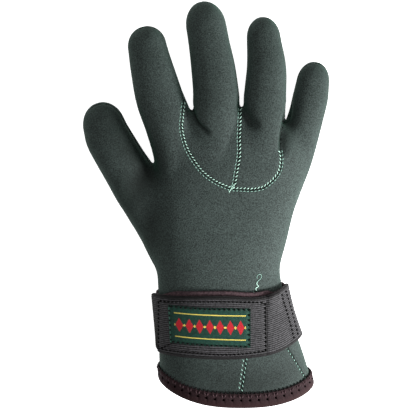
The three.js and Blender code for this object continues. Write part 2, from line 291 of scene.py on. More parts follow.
def pointsOf(mesh):
    return valuesOf(mesh.vertices, "co") / mm


def normalsOf(mesh):
    return valuesOf(mesh.vertex_normals, "vector")


def setPoints(mesh, points):
    mesh.vertices.foreach_set("co", (points * mm).astype(np.float32).ravel())
    mesh.update()


def setPaintedShade(mesh, groove):  # how much painted shade each point takes in the material: in the seams' grooves, along the folds, and a band across the cuff
    layer = mesh.attributes.new("groove", "FLOAT", "POINT")
    layer.data.foreach_set("value", groove.astype(np.float32).ravel())


# Materials


def add(tree, kind, settings={}):  # one node with its settings, some of them other nodes' outputs
    node = tree.nodes.new(kind)
    for name, value in settings.items():
        if isinstance(value, bpy.types.NodeSocket):
            tree.links.new(value, node.inputs[name])
        elif isinstance(name, int) or name in node.inputs:
            node.inputs[name].default_value = value
        else:
            setattr(node, name, value)
    return node


def newFinish(name, colour, roughness, sheen=0.0, sheenColour="#ffffff", specular=0.3):
    finish = bpy.data.materials.new(name)
    finish.use_nodes = True
    sockets = finish.node_tree.nodes["Principled BSDF"].inputs
    sockets["Base Color"].default_value = linearColour(colour)
    sockets["Roughness"].default_value = roughness
    sockets["IOR"].default_value = 1.5
    sockets["Specular IOR Level"].default_value = specular
    sockets["Sheen Weight"].default_value = sheen
    sockets["Sheen Roughness"].default_value = 0.5
    sockets["Sheen Tint"].default_value = linearColour(sheenColour)
    return finish, finish.node_tree


def texture(tree, kind, size, settings={}):  # a texture whose grains are size mm apart
    place = add(tree, "ShaderNodeTexCoord").outputs["Object"]
    return add(tree, kind, {"Scale": 1 / (size * mm), "Vector": place, **settings})


def noise(tree, size, detail):
    return texture(tree, "ShaderNodeTexNoise", size, {"Detail": detail}).outputs["Fac"]


def planOf(tree, step=None):  # lengths in mm along and across the piece, or whole steps of them
    plan = add(tree, "ShaderNodeUVMap", {"uv_map": "plan"}).outputs["UV"]
    if step:
        plan = add(tree, "ShaderNodeVectorMath", {"operation": "SNAP", 0: plan, 1: (*step, 1)}).outputs[0]
    split = add(tree, "ShaderNodeSeparateXYZ", {"Vector": plan})
    return split.outputs["X"], split.outputs["Y"]


def calc(tree, operation, *values):
    return add(tree, "ShaderNodeMath", {"operation": operation, **dict(enumerate(values))}).outputs[0]


def ranged(tree, source, low, high, most):  # 0 where the source is low, and most where it is high
    return add(tree, "ShaderNodeMapRange", {0: source, 1: low, 2: high, 3: 0.0, 4: most}).outputs[0]


def colourRamp(tree, stops, source):  # colours at two places along the source's value
    ramp = add(tree, "ShaderNodeValToRGB", {"Fac": source})
    for element, (place, colour) in zip(ramp.color_ramp.elements, stops):
        element.position, element.color = place, linearColour(colour)
    return ramp.outputs["Color"]


def overlaid(tree, mask, colour, under):  # a plain colour over another output, as far as the mask says
    settings = {"data_type": "RGBA", 0: mask, 6: under, 7: linearColour(colour)}
    return add(tree, "ShaderNodeMix", settings).outputs[2]


def surfaced(finish, colour, height, strength, depth):  # links a colour, and a bump depth mm deep
    tree = finish.node_tree
    sockets = tree.nodes["Principled BSDF"].inputs
    if colour:
        tree.links.new(colour, sockets["Base Color"])
    bump = add(tree, "ShaderNodeBump", {"Strength": strength, "Distance": depth * mm, "Height": height})
    tree.links.new(bump.outputs["Normal"], sockets["Normal"])
    return finish


# Neoprene foam faced with knitted nylon jersey: matte, with a fine grainy knit and a pale
# green bloom where light skims the fibres. The real wales are 0.5 mm apart, too fine to
# show, so the knit is drawn about twice as coarse.
neopreneLook = {
    "dark": "#161a19",
    "light": "#303836",
    # groove: the near-black that the groove attribute mixes over the jersey, painted shade in the seams'
    # grooves and along the folds, and the darker band across the cuff
    "groove": "#050706",
    "knit": 0.75,
    "mottle": 9.0,
    "mottleShare": 0.12,
    "roughness": 0.8,
    "sheen": 0.08,
    "bloom": "#78c4a6",
    "specular": 0.1,
}


def jerseyNeoprene():
    look = neopreneLook
    finish, tree = newFinish(
        "nylonJerseyNeoprene", look["light"], look["roughness"], look["sheen"], look["bloom"], look["specular"]
    )
    mottle = calc(tree, "MULTIPLY", noise(tree, look["mottle"], 3.0), look["mottleShare"])
    mixed = calc(tree, "MULTIPLY_ADD", noise(tree, look["knit"], 1.0), 1 - look["mottleShare"], mottle)
    jersey = colourRamp(tree, [(0.32, look["dark"]), (0.68, look["light"])], mixed)
    # painted shade: the groove attribute darkens the jersey towards near black in the seams' grooves and along
    # the folds, and in a band across the cuff
    groove = add(tree, "ShaderNodeAttribute", {"attribute_name": "groove"}).outputs["Fac"]
    cells = texture(tree, "ShaderNodeTexVoronoi", look["knit"]).outputs["Distance"]
    return surfaced(finish, overlaid(tree, groove, look["groove"], jersey), cells, 0.35, 0.25)


# Brushed nylon plush laminated inside the neoprene: soft, near black, with short tufts
def plushLining():
    finish, tree = newFinish("brushedPlushLining", "#141616", 0.95, 0.15, "#7d8a86", 0.05)
    tufts = noise(tree, 1.6, 4.0)
    colour = colourRamp(tree, [(0.35, "#0d0f0f"), (0.65, "#1d2020")], tufts)
    return surfaced(finish, colour, tufts, 0.6, 0.5)


# Twisted polyester thread: slightly glossy, with a fine twist that breaks the light
def spunThread(name, colour, gloss=0.2):
    finish, tree = newFinish(name, colour, 0.75 - gloss, gloss / 4, "#ffffff", gloss)
    return surfaced(finish, None, noise(tree, 0.4, 1.0), 0.4, 0.1)


neoprene = jerseyNeoprene()
lining = plushLining()
mintThread = spunThread("mintPolyesterThread", "#8ba99c")
fadedThread = spunThread("mintBobbinThread", "#66857a")
blackThread = spunThread("blackPolyesterThread", "#040404", 0.05)

# The neoprene shell: every tube joined by a voxel remesh, then shaped and cut into its panels

shellLook = {
    "voxel": 1.0,
    "blend": 8,
    "waviness": 0.35,
    "groove": 0.55,
    "grooveWidth": 0.8,
    "settle": 3,  # how sharply the palm flattens where it meets the table
    "snap": 0.6,
    "seamLevel": 19,  # a finger's panel has its back outline over this height
    "gussetLevel": 27,
    "underTape": 0.8,
    "roots": [  # where digits are worked into the hand: centre, reach, lowest height and rounds
        ((-24, -20), (17, 44), 16, 120),
        ((56, 22), (12, 26), 16, 60),
        ((-42, 2), (15, 26), 20, 90),
        ((55, 46), (8, 12), 14, 40),
        ((-5, 34), (16, 22), 27, 70),
        ((27, 36), (14, 18), 27, 50),
    ],
}

backSeams = {  # seen from above
    "index": [
        (-14.2, 65.2), (-14.9, 59.8), (-15.4, 54.3), (-15.9, 49.8), (-15.4, 45.4), (-14.4, 41),
        (-12.6, 35.7), (-9.8, 30.4), (-6.2, 25.1), (-2.1, 20.2), (3.2, 16.2), (8.7, 13.1), (15.9, 10.2),
    ],
    "centre": [(15.9, 10.2), (17.4, 12.8), (19, 21.6), (20.6, 31.4), (20.6, 42), (21.3, 55), (21.8, 62)],
    "little": [
        (15.9, 10.2), (23.6, 9.9), (29.9, 9.7), (36.3, 11.1), (41.7, 15.1), (45.4, 19.4), (47, 24),
        (47.4, 29.2), (46.8, 34.3), (47, 39.2), (47.9, 45.4), (49.5, 50.6), (51, 55),
    ],
    "cuffLeft": [(32, -55), (28.6, -77), (24.8, -99.5), (22, -118.9), (20.6, -130)],
    "cuffRight": [(32, -55), (42.5, -75), (53, -94), (58.4, -103.1), (65, -114.5), (69, -122)],
}
# each fold's line, its depth and width, the height and reach of the swell beside it (on its left
# as walked, or on its right if negative), and how dark and wide the darkening along it is, painted
# shade in the folds; the last three are a hollow, a swell and a darker band across the cuff, all broad
creases = [
    ([(-9.6, 61), (-6.3, 52.6), (-3.1, 49.1), (0.6, 46)], (2.6, 1.3), (0.8, 8), (0.9, 0.9)),
    ([(22.4, 62), (24.6, 56), (27, 52.6), (30, 50.8)], (1.9, 3.4), (0.7, 8), (0.55, 4)),
    ([(52.6, 61), (50.4, 52), (49, 45), (48.1, 38), (48, 33)], (3.0, 2.2), (-1.2, 6), (0.95, 1.0)),
    ([(57, 64), (54.4, 54), (52.3, 45), (50.5, 35)], (1.0, 3.5), (0, 6), (0.6, 3.5)),
    # painted shadow down the thumb's flank and root, where the hand shades it
    (
        [(-60, 61), (-52, 48), (-45, 36), (-37, 25), (-42, 14), (-48, 4), (-52, -7)],
        (0.6, 5), (0, 6), (0.9, 12),
    ),
    ([(-43, 12), (-40, -2), (-36, -18), (-32, -34)], (1.8, 9), (0, 6), (0.5, 11)),
    ([(-26, 20), (-24, 2), (-24, -24)], (-1.6, 13), (0, 6), (0, 1)),
    ([(-12, -110), (30, -115), (66, -104)], (0, 9), (0, 6), (0.5, 14)),
]
seamLines = {name: smoothLine(points) for name, points in backSeams.items()}
fingerPanels = {  # outlines on the back, where seams bound the finger's tongue, and on the palm side
    "middle_finger": (
        np.vstack([seamLines["index"], seamLines["centre"], [(22.3, 140), (-19, 140)]]),
        [(-9.5, 44), (22, 44), (22.3, 140), (-19, 140), (-13, 64)],
    ),
    "ring_finger": (
        np.vstack([seamLines["centre"][::-1], seamLines["little"], [(60, 140), (22.3, 140)]]),
        [(22, 44), (50.5, 44), (52, 56), (60, 140), (22.3, 140)],
    ),
}


def handRings(count=120, sides=96):
    y = np.linspace(handCurve["y"][0], handCurve["y"][-1], count)
    angle = np.linspace(0, 2 * math.pi, sides, endpoint=False)
    rings = [handAt(angle, np.full(sides, v), 0) for v in y]
    last, middle = rings[-1], rings[-1].mean(0)
    for turn in np.linspace(0, math.pi / 2, 9)[1:-1]:
        closer = middle + (last - middle) * math.cos(turn)
        closer[:, 1] = y[-1] + gloveForm["knuckleReach"] * math.sin(turn)
        rings.append(closer)
    return np.array(rings)


def digitRings(name, count=60, sides=64):
    rows = smoothRows(("x", "y", "width", "height", "lift"), gloveForm["digits"][name], count)
    centre = np.stack([rows["x"], rows["y"], rows["lift"] + rows["height"] / 2], 1)
    along = unit(np.gradient(centre, axis=0))
    across = unit(np.stack([along[:, 1], -along[:, 0], np.zeros(count)], 1))
    angle = np.linspace(0, 2 * math.pi, sides, endpoint=False)
    rings = []
    for i in range(count):
        u, z = sectionAt(angle, rows["width"][i] / 2, rows["height"][i] / 2)
        rings.append(centre[i] + u[:, None] * across[i] + z[:, None] * np.array([0, 0, 1.0]))
    end, tip = rings[-1], gloveForm["tips"][name]
    for turn in np.linspace(0, math.pi / 2, 10)[1:-1]:
        rings.append(centre[-1] + (end - centre[-1]) * math.cos(turn) + along[-1] * tip * math.sin(turn))
    return np.array(rings)


def joinedShell():
    points, faces, count = [], [], 0
    for rings in [handRings()] + [digitRings(name) for name in gloveForm["digits"]]:
        p, f = closedLoft(rings)
        faces += [[v + count for v in face] for face in f]
        points.append(p)
        count += len(p)
    shell = meshFrom("shell", np.vstack(points), faces, None)
    remesh = shell.modifiers.new("union", "REMESH")
    remesh.mode = "VOXEL"
    remesh.voxel_size = shellLook["voxel"] * mm
    applyModifiers(shell)
    return shell


def neighbourMeans(mesh):  # gives a function for the middle of each point's neighbours
    edges = np.zeros(len(mesh.edges) * 2, int)
    mesh.edges.foreach_get("vertices", edges)
    a, b = edges[::2], edges[1::2]
    count = len(mesh.vertices)
    degree = np.bincount(a, minlength=count) + np.bincount(b, minlength=count)

    def means(points):
        sums = [np.bincount(a, points[b, k], count) + np.bincount(b, points[a, k], count) for k in range(3)]
        return np.stack(sums, 1) / degree[:, None]

    return means


def relax(mesh, rounds):
    points, means = pointsOf(mesh), neighbourMeans(mesh)
    for turn in range(2 * rounds):  # each step in is followed by one out, so nothing shrinks
        points += (means(points) - points) * (0.6 if turn % 2 == 0 else -0.42)
    setPoints(mesh, points)


def soften(mesh):  # rounds off the hollow where a digit's root meets the hand
    points, means = pointsOf(mesh), neighbourMeans(mesh)
    for centre, reach, lowest, rounds in shellLook["roots"]:
        away = np.linalg.norm((points[:, :2] - centre) / reach, axis=1)
        hold = smoothStep(1, 0.6, away) * smoothStep(lowest, lowest + 6, points[:, 2]) * 0.6
        for _ in range(rounds):
            points += (means(points) - points) * hold[:, None]
    setPoints(mesh, points)


def fingerOwner(points):  # which finger's own panel each point lies in
    owner = np.full(len(points), "", object)
    above = points[:, 2] > shellLook["seamLevel"]
    for name, (back, palm) in fingerPanels.items():
        within = np.where(above, inside(back, points[:, :2]), inside(palm, points[:, :2]))
        owner[within & (owner == "")] = name
    return owner


def foldPush(plan, points, fold, swell, shade):  # how far out a fold moves the surface, and how much painted darkening lies along it
    line = smoothLine(points)
    gap, nearest = distanceTo(line, plan)
    ahead = unit(np.gradient(line, axis=0))[nearest]
    offset = plan - line[nearest]
    side = np.sign(ahead[:, 0] * offset[:, 1] - ahead[:, 1] * offset[:, 0]) * gap
    fade = np.sin(np.pi * np.clip((nearest + 4) / (len(line) + 8), 0, 1)) ** 0.5
    (depth, width), (height, reach), (darkness, shadeWidth) = fold, swell, shade
    raised = abs(height) * smoothStep(0, width * 1.5, side * np.sign(height)) * bell(gap, reach)
    return fade * (raised - depth * bell(gap, width)), fade * darkness * bell(gap, shadeWidth)


def shapeShell(mesh):
    look = shellLook
    points, normals = pointsOf(mesh), normalsOf(mesh)
    up = normals[:, 2] > 0.05
    waves = [((0.9, 0.3, 0.2), 7.1, 0.4), ((-0.3, 0.8, 0.5), 9.3, 1.9), ((0.5, -0.6, 0.6), 5.7, 4.0)]
    heights = sum(np.sin(points @ np.array(way) / size + phase) for way, size, phase in waves)
    push = look["waviness"] / 3 * heights
    # one mask sinks the seams' grooves and, stored as the groove attribute, also paints shade into them
    groove = np.zeros(len(points))
    for line in seamLines.values():
        gap, _ = distanceTo(line, points[:, :2])
        groove = np.maximum(groove, np.where(up, bell(gap, look["grooveWidth"]), 0))
    steep = np.sqrt(np.maximum(1 - normals[:, 2] ** 2, 0.04))
    sideGroove = bell(abs(points[:, 2] - sideSeamAt(points)) / steep, look["grooveWidth"])
    groove = np.maximum(groove, np.where(fingerOwner(points) == "", sideGroove, 0))
    push -= look["groove"] * groove
    for crease in creases:
        fold, shade = foldPush(points[:, :2], *crease)
        push += np.where(up, fold, 0)
        # each fold's painted shade joins the same mask, down the flanks too
        groove = np.maximum(groove, np.where(normals[:, 2] > -0.4, shade, 0))
    points += normals * push[:, None]
    pressed = 0.2 + np.log1p(np.exp((points[:, 2] - 0.2) * look["settle"])) / look["settle"]
    points[:, 2] = np.where(points[:, 2] < 1, pressed, points[:, 2])
    setPoints(mesh, points)
    setPaintedShade(mesh, groove)


def snapToSeams(mesh):  # so that the panels' edges follow the seams closely
    points, normals = pointsOf(mesh), normalsOf(mesh)
    reach = shellLook["snap"] * shellLook["voxel"]
    for line in seamLines.values():
        gap, nearest = distanceTo(line, points[:, :2])
        near = (gap < reach) & (normals[:, 2] > 0.25)
        move = line[nearest[near]] - points[near, :2]
        points[near, 2] -= (normals[near, :2] * move).sum(1) / normals[near, 2]
        points[near, :2] += move
    rise = sideSeamAt(points) - points[:, 2]
    near = (abs(rise) < reach) & (abs(normals[:, 2]) < 0.8) & (fingerOwner(points) == "")
    uphill = np.array([0, 0, 1.0]) - normals[near] * normals[near, 2:]
    points[near] += uphill * (rise[near] / uphill[:, 2])[:, None]
    setPoints(mesh, points)


def panelOf(centres):  # the panel that each face belongs to
    plan = centres[:, :2]
    owner = fingerOwner(centres)
    body = owner == ""
    above = centres[:, 2] > sideSeamAt(centres)
    owner[body & above] = "hand_back"
    owner[body & ~above] = "hand_palm"
    gusset = np.vstack([seamLines["cuffLeft"], [(20, -140), (80, -140)], seamLines["cuffRight"][::-1]])
    owner[(centres[:, 2] > shellLook["gussetLevel"]) & inside(gusset, plan)] = "cuff_gusset"
    owner[plan[:, 1] < hemAt(plan[:, 0]) + shellLook["underTape"]] = "beyond the hem"
    return owner


def cutPanels(shell):  # each panel gets its lining, a wall's thickness inside, and its cut edges
    mesh = shell.data
    points, normals = pointsOf(mesh), normalsOf(mesh)
    owner = panelOf(valuesOf(mesh.polygons, "center") / mm)
    faces = [tuple(p.vertices) for p in mesh.polygons]
    # the painted shade, carried onto each panel's outside and its lining
    groove = valuesOf(mesh.attributes["groove"].data, "value", 1)
    for name in ("hand_back", "hand_palm", "middle_finger", "ring_finger", "cuff_gusset"):
        chosen = [faces[i] for i in np.flatnonzero(owner == name)]
        used = np.unique(np.array([v for f in chosen for v in f]))
        index = np.full(len(points), -1)
        index[used] = np.arange(len(used))
        count = len(used)
        inner = points[used] - normals[used] * gloveForm["wall"]
        inner[:, 2] = np.maximum(inner[:, 2], gloveForm["wall"])
        edges = {(a, b) for f in chosen for a, b in zip(f, f[1:] + f[:1])}
        rim = sorted((a, b) for a, b in edges if (b, a) not in edges)
        outerFaces = [tuple(index[v] for v in f) for f in chosen]
        liningFaces = [tuple(index[v] + count for v in reversed(f)) for f in chosen]
        sides = [(index[b], index[a], index[a] + count, index[b] + count) for a, b in rim]
        allPoints, allFaces = np.vstack([points[used], inner]), outerFaces + liningFaces + sides
        piece = meshFrom(name + "_neoprene", allPoints, allFaces, neoprene)
        piece.data.materials.append(lining)
        slots = np.zeros(len(piece.data.polygons), np.int32)
        slots[len(outerFaces) :] = 1
        piece.data.polygons.foreach_set("material_index", slots)
        setPaintedShade(piece.data, np.concatenate([groove[used]] * 2))
        stands(piece, "neoprene_jersey", name)
        print(name, "cut,", len(piece.data.polygons), "faces")


shell = joinedShell()
relax(shell.data, shellLook["blend"])
soften(shell.data)
print("shell joined,", len(shell.data.vertices), "points")
shapeShell(shell.data)
snapToSeams(shell.data)
cutPanels(shell)
skin = BVHTree.FromPolygons(
    [tuple(p) for p in pointsOf(shell.data)], [tuple(p.vertices) for p in shell.data.polygons]
)
bpy.data.objects.remove(shell)


def onSkin(plan):  # the back of the glove above each plan point, and its normal there
    found = [skin.ray_cast(Vector((x, y, 90)), Vector((0, 0, -1)))[:2] for x, y in plan]
    return np.array([tuple(f[0]) for f in found]), np.array([tuple(f[1]) for f in found])


# Stitches


def circles(across, normals, sides):  # a round of unit directions at each place
    angle = np.linspace(0, 2 * math.pi, sides, endpoint=False)[None, :, None]
    return np.cos(angle) * across[:, None] + np.sin(angle) * normals[:, None]


def stitchBars(name, rows, radius, finish, slot, lift, sink):
    # each stitch is a short thread that dives into the cloth at both ends
    starts, ends, normals = (np.vstack(part) for part in zip(*rows))
    sides, steps = 6, 6
    along = unit(ends - starts)
    normals = unit(normals - along * (normals * along).sum(1, keepdims=True))
    circle = circles(np.cross(along, normals), normals, sides)
    rings = []
    for t in np.linspace(0, 1, steps + 1):
        arch = math.sin(math.pi * t)
        middle = starts + (ends - starts) * t + normals * (radius * ((lift + 1) * arch - 0.3) - sink)
        rings.append(middle[:, None] + radius * (0.35 + 0.65 * arch**0.5) * circle)
    blocks = np.stack(rings, 1)
    blocks[..., 2] = np.maximum(blocks[..., 2], 0.05)  # the table flattens what it touches
    perStitch = (steps + 1) * sides
    one = gridFaces(steps + 1, sides).tolist()
    one += [list(range(sides))[::-1], [steps * sides + k for k in range(sides)]]
    faces = [[v + k * perStitch for v in face] for k in range(len(blocks)) for face in one]
    stands(meshFrom(name, blocks.reshape(-1, 3), faces, finish), slot)


def stitchRow(surfaceAt, line, pitch, bar, slant=0, side=0):
    # stitches along a plan line: side moves the row to the left, slant turns each stitch to the left
    place, along = evenly(line, pitch)
    left = np.stack([-along[:, 1], along[:, 0]], 1)
    turn = math.radians(slant)
    half = (along * math.cos(turn) + left * math.sin(turn)) * bar / 2
    place = place + left * side
    starts, normals = surfaceAt(place - half)
    return starts, surfaceAt(place + half)[0], normals


# bright is the row that catches the eye, on one side of the joint; faint is the other side's
seamLook = {
    "thread": 0.3,
    "faintThread": 0.24,
    "bright": 0.6,
    "faint": -1.2,
    "aboveHem": 8,
    "tack": [(14, 8.2), (15.6, 10), (17.4, 12.4)],  # a few more stitches where the three seams meet
}
seamRows = {  # pitch, length and slant of the bright stitches, the side they are on, and where they end
    "index": (2.2, 2.1, 26, 1, 65.2),
    "centre": (2.45, 2.3, 38, -1, 61),
    "little": (2.3, 2.1, 34, 1, 34.5),
    "cuffLeft": (2.9, 2.2, 34, 1, -56),
    "cuffRight": (2.5, 1.6, 20, -1, -56),
}


def twinSeams():
    look, bright, faint, cuff = seamLook, [], [], []
    for name, (pitch, bar, lean, side, end) in seamRows.items():
        line, slant = seamLines[name], side * lean
        line = line[(line[:, 1] < end) & (line[:, 1] > hemAt(line[:, 0]) + look["aboveHem"])]
        first = stitchRow(onSkin, line, pitch, bar, slant, side * look["bright"])
        if name == "cuffLeft":  # here both rows show, one on each side of the joint
            cuff += [first, stitchRow(onSkin, line + (0, pitch / 2), pitch, bar, slant, -side * 1.1)]
        elif name == "cuffRight":
            cuff.append(first)
        else:
            bright.append(first)
            faint.append(stitchRow(onSkin, line, pitch, 0.8 * pitch, 0, side * look["faint"]))
    bright.append(stitchRow(onSkin, smoothLine(look["tack"]), 1.2, 1.9, 50))
    stitchBars("seam_stitches", bright, look["thread"], mintThread, "neoprene_jersey", 0.5, 0.15)
    stitchBars("seam_bobbin_row", faint, look["faintThread"], fadedThread, "neoprene_jersey", 0.5, 0.1)
    stitchBars("cuff_seam_stitches", cuff, 0.9 * look["thread"], fadedThread, "neoprene_jersey", 0.4, 0.15)


twinSeams()

# the thread's tail above the strap: a knot, then a small open loop
tailForm = {
    "thread": 0.17,
    "knot": [(32.2, -55.5), (31.4, -53.6), (33.2, -52.6), (32.2, -51), (32.4, -49.6)],
    "loop": [
        (32.4, -49.6), (34.4, -47.9), (35.3, -46.6), (34.9, -45.3), (33.6, -44.9), (32.5, -45.9), (32.2, -47.6),
    ],
}


def threadTail():
    for name, grow, finish in (("knot", 1.5, mintThread), ("loop", 1.0, fadedThread)):
        points, normals = onSkin(smoothLine(tailForm[name], 0.25))
        across = np.cross(unit(np.gradient(points, axis=0)), normals)
        radius = tailForm["thread"] * grow
        middle = points + normals * radius * 0.9
        rings = middle[:, None] + radius * circles(across, normals, 8)
        stands(meshFrom("thread_tail_" + name, *closedLoft(rings), finish), "neoprene_jersey")


threadTail()
print("seams stitched")

# The band and the strap round the wrist

strapForm = {
    "edges": [  # x, and the strap's top and bottom edges seen from above
        (-60, -60.2, -98), (-25, -58.6, -97.2), (10, -57.4, -97.6), (32, -58.6, -96.4),
        (46, -55.6, -94.2), (60, -50, -88.4), (90, -40, -74),
    ],
    "width": 38.0,
    "near": 2.0,
    "far": 4.0,
    "ribs": 30,
    "ribSteps": 5,
    "ribDepth": 0.34,
    "freeEnd": {"top": 178, "bottom": 163, "corner": 5},  # degrees round the wrist, and a radius
    "degreesPerMm": 2.1,  # at the side of the wrist
    "sewnEnd": -162,
    "tabEnd": 38.4,  # where the tab is sewn to the elastic
    "hidden": 4,  # mm of the elastic under the tab
    "doubled": 0.35,  # the turned end's extra thickness
    "dent": 0.35,  # how far stitches draw the strap in
    "dentWidth": 0.9,
    "standOff": 2.0,  # the elastic's top edge stands off the cuff here
    "tipLift": 1.1,  # and so does the free end
    "slide": 3.0,  # towards the hem, past the little finger's side
    "backAbove": 27,
}
strapCurve = smoothRows(("x", "top", "bottom"), strapForm["edges"], 200)


def strapY(x, across):  # across is 0 at the lower edge and 1 at the upper one
    top, bottom = (np.interp(x, strapCurve["x"], strapCurve[k]) for k in ("top", "bottom"))
    return bottom + (top - bottom) * across


def strapAt(angle, across, grow):
    slide = strapForm["slide"] * smoothStep(0.3, -0.4, angle)
    return roundAt(angle, across, grow, -78.0, lambda x: strapY(x, across) - slide)


# Elastic webbing woven from nylon over rubber: matte, dark grey with a brown cast, with fine ribs
# along it whose crowns are painted paler and gaps darker as shade, and darker edges, with painted shade at the
# tab's free end
def ribbedWebbing():
    finish, tree = newFinish("ribbedElasticWebbing", "#242425", 0.75, 0.04, "#b6b6ba", 0.12)
    x, y = planOf(tree)
    width, pickPitch = strapForm["width"], 1.0
    # painted shade: each rib's crown paler and the gap between ribs darker
    ribs = calc(tree, "COSINE", calc(tree, "MULTIPLY", y, 2 * math.pi / (width / strapForm["ribs"])))
    picks = calc(tree, "SINE", calc(tree, "MULTIPLY", x, 2 * math.pi / pickPitch))
    tone = calc(tree, "MULTIPLY_ADD", ribs, 0.3, noise(tree, 1.3, 3.0))
    colour = colourRamp(tree, [(0.2, "#050505"), (0.85, "#373638")], tone)
    # darker along both edges, and at the start of each piece: painted shade where the tab's free end curves
    # down
    toEdge, toEnd = calc(tree, "PINGPONG", y, width / 2), calc(tree, "MULTIPLY", x, 0.4)
    selvage = ranged(tree, calc(tree, "MINIMUM", toEdge, toEnd), 2.4, 1.2, 0.92)
    return surfaced(finish, overlaid(tree, selvage, "#070606", colour), picks, 0.3, 0.15)


# Brushed loop pile, the soft side of hook and loop: dull purple-brown with a worn, napped edge
def brushedLoopPile():
    finish, tree = newFinish("brushedLoopPile", "#2c2224", 0.95, 0.12, "#a8959a", 0.08)
    nap = noise(tree, 1.1, 4.0)
    return surfaced(finish, colourRamp(tree, [(0.3, "#1c1517"), (0.7, "#3a2d30")], nap), nap, 0.6, 0.4)


webbing = ribbedWebbing()
loopPile = brushedLoopPile()
bandForm = {  # low, high and rise are shares of the strap's width
    "low": 0.03, "high": 0.985, "rise": 0.085, "near": 0.4, "far": 1.6, "bead": 0.5,
    "shows": (36, 50, 128, 158),  # degrees round the wrist between which its edge shows
}


def wristBand():
    form = bandForm
    degrees = np.arange(0, 360, 3.0)[:, None]
    rightLow, rightHigh, leftHigh, leftLow = form["shows"]
    shows = smoothStep(rightLow, rightHigh, degrees) * smoothStep(leftLow, leftHigh, degrees)
    high = form["high"] + form["rise"] * shows
    share = np.linspace(0, 1, 40)[None, :]
    width = form["low"] + (high - form["low"]) * share
    bead = form["bead"] * shows * smoothStep(0.965, 0.985, share)  # turned edge
    outer = strapAt(np.radians(degrees), width, form["far"] + bead)
    inner = strapAt(np.radians(degrees), width, form["near"])
    rings = np.concatenate([outer, inner[:, ::-1]], 1)
    faces = gridFaces(len(rings), rings.shape[1], True, True)[:, ::-1]
    stands(meshFrom("wrist_loop_band", rings.reshape(-1, 3), faces, loopPile), "loop_pile", "wrist_band")


# rows of stitching on the strap, seen from above: a box, its cross, and a pair on the turned end
strapRows = [
    [(-30.9, -62.8), (-10, -61.3), (14, -60.9), (37.6, -62)],
    [(37.6, -62), (38, -92.4)],
    [(37.6, -92.6), (14, -94.4), (-10, -93.8), (-31.2, -94)],
    [(-31.2, -94), (-30.9, -62.8)],
    [(-32.2, -95.2), (-21, -88)],
    [(48, -57.6), (52.8, -73), (57, -88.6)],
    [(51, -56), (55.6, -71), (59.6, -86.6)],
]
strapRowLines = [smoothLine(points, 0.4) for points in strapRows]


def strapPush(points, across):  # how the strap's face departs from a plain wound band
    form, x, y = strapForm, points[..., 0], points[..., 1]
    above = points[..., 2] > form["backAbove"]
    dent = np.zeros(x.size)
    for line in strapRowLines:
        gap, _ = distanceTo(line, points[..., :2].reshape(-1, 2))
        dent = np.maximum(dent, bell(gap, form["dentWidth"]))
    dent = np.where(above, dent.reshape(x.shape), 0)
    fold = np.where(above, smoothStep(47, 48.5, x + 0.24 * (y + 57)), 0)
    off = form["standOff"] * smoothStep(36, 42, x) * smoothStep(50, 45, x) * smoothStep(0.6, 1, across)
    tip = form["tipLift"] * smoothStep(-31, -37, x)
    return form["doubled"] * fold - form["dent"] * dent + np.where(above, off + tip, 0)


def strapSheet(name, start, end, steps, lead):  # lead is how much webbing comes before its start
    form = strapForm
    across = np.linspace(0, 1, form["ribs"] * form["ribSteps"] + 1)[None, :]
    t = np.linspace(0, 1, steps)[:, None]
    angle = np.radians(start + (end - start) * t)
    ribs = form["ribDepth"] * (abs(np.cos(math.pi * across * form["ribs"])) - 0.6)
    edge = np.clip(np.minimum(across, 1 - across) * form["width"] / 1.1, 0, 1)
    plain = strapAt(angle, across, form["far"])
    push = strapPush(plain, np.broadcast_to(across, angle.shape))
    ends = np.clip(np.minimum(t, 1 - t) * abs(np.mean(end - start)) / 2, 0, 1)  # over two degrees
    rounded = 0.8 * (1 - np.sqrt(edge)) + 0.8 * (1 - np.sqrt(ends))
    outer = strapAt(angle, across, form["far"] + push + ribs * edge - rounded)
    inner = strapAt(angle, across, form["near"] + np.maximum(push - form["doubled"], 0) + 0.2 * rounded)
    piece = closedSheet(name, outer, inner, webbing)
    length = lengthsAlong(outer[:, len(across[0]) // 2])
    addPlan(piece, length[:, None] + lead, across * form["width"])
    stands(piece, "elastic_webbing", "closing_strap")


def closingStrap():
    form, end = strapForm, strapForm["freeEnd"]
    corner = end["corner"]
    across = np.linspace(0, 1, form["ribs"] * form["ribSteps"] + 1)
    near = np.minimum(across, 1 - across) * form["width"]
    bite = corner - np.sqrt(np.maximum(corner**2 - np.maximum(corner - near, 0) ** 2, 0))
    start = end["bottom"] + (end["top"] - end["bottom"]) * across - bite * form["degreesPerMm"]
    # the tab reaches as far as the place where it is sewn to the elastic, on the back of the wrist
    angles = np.radians(np.linspace(10, 90, 400))
    gaps = [abs(strapAt(angles, np.full(400, a), form["far"])[:, 0] - form["tabEnd"]) for a in across]
    seam = np.degrees([angles[np.argmin(gap)] for gap in gaps])
    sewn = np.full_like(seam, form["sewnEnd"])
    strapSheet("strap_tab", start[None, :], seam[None, :], 130, 0)
    strapSheet("strap_elastic", seam[None, :] + 0.4, sewn[None, :], 170, form["hidden"])


def topSurface(grow):  # the back of the wrist at a height over the neoprene, with normals
    def surfaceAt(plan):
        x, y = plan[:, 0], plan[:, 1]
        normals = normalsAt(lambda x, y: topAt(x, y, grow), x, y, 0.2, 0.2)
        across = np.clip((y - strapY(x, 0)) / (strapY(x, 1) - strapY(x, 0)), 0, 1)
        points = topAt(x, y, grow)
        return points + normals * strapPush(points, across)[:, None], normals

    return surfaceAt


def strapStitches():
    top = topSurface(strapForm["far"] + 0.1)
    rows = [stitchRow(top, line, 2.6, 2.0) for line in strapRowLines]
    stitchBars("strap_stitches", rows, 0.6, blackThread, "elastic_webbing", 0.2, 0.2)


wristBand()
closingStrap()
strapStitches()
print("strap wound and stitched")

# The label

